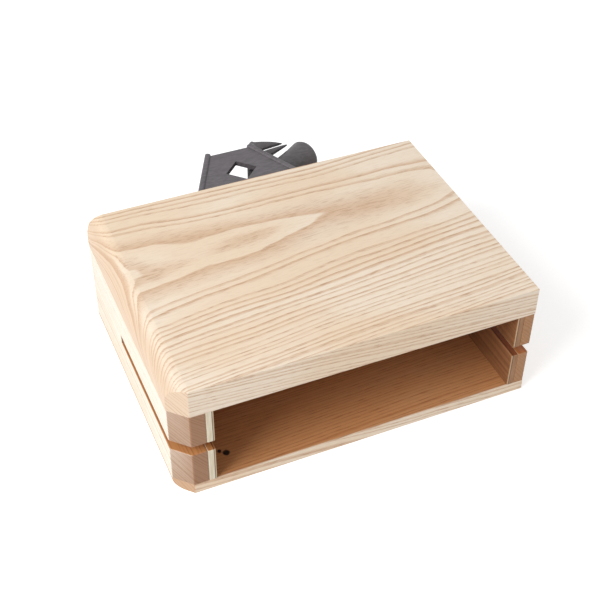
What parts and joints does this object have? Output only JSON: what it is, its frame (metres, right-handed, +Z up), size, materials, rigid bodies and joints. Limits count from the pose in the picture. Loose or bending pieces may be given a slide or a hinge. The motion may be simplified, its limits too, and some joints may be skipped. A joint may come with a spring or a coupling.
{
  "type": "wood block",
  "caption": "Hollow ash wood block, open at the front, with kerfed ends, a moulded rod bracket on its back wall and a wing knob that clamps the rod.",
  "frame": {"origin": "centre of the wooden block's underside", "axes": "+X along the block's width, to the right seen from the open front; +Y from the open front to the bracket at the back; +Z up, out of the thick top plate"},
  "size_m": [0.2, 0.2034, 0.073],
  "materials": {
    "ash": "sanded ash with a thin clear satin coat, bold growth rings",
    "ash_end": "sanded ash end blocks, darker end grain at the front",
    "plywood": "pale thin plywood with a dark glue line",
    "bracket_plastic": "satin black glass-filled moulding, fine texture",
    "knob_plastic": "satin black moulding",
    "shoe_plastic": "matte black moulding",
    "steel": "zinc plated"
  },
  "bodies": {
    "block": {"top_plate": "ash", "bottom_plate": "ash", "back_wall": "ash", "left_end_block": "ash_end", "right_end_block": "ash_end", "left_liner": "plywood", "right_liner": "plywood", "bracket_body": "bracket_plastic", "bracket_screw_1": "steel", "bracket_screw_2": "steel", "bracket_screw_3": "steel", "bracket_screw_4": "steel", "captive_nut": "steel"},
    "shoe": {"pressure_shoe": "shoe_plastic"},
    "knob": {"clamp_screw": "steel", "wing_knob": "knob_plastic"}
  },
  "joints": [
    {"name": "shoe_slide", "type": "slide", "parent": "block", "child": "shoe", "axis": [-0.8997, -0.4365, 0], "range_m": [0, 0.00605]},
    {"name": "knob_spin", "type": "hinge", "parent": "shoe", "child": "knob", "pos_m": [0, 0.0939, 0.045], "axis": [-0.8997, -0.4365, 0], "range_deg": [0, 2160]}
  ],
  "couplings": [
    {"joint": "shoe_slide", "follows": "knob_spin", "m_per_rad": 0.00015915}
  ]
}
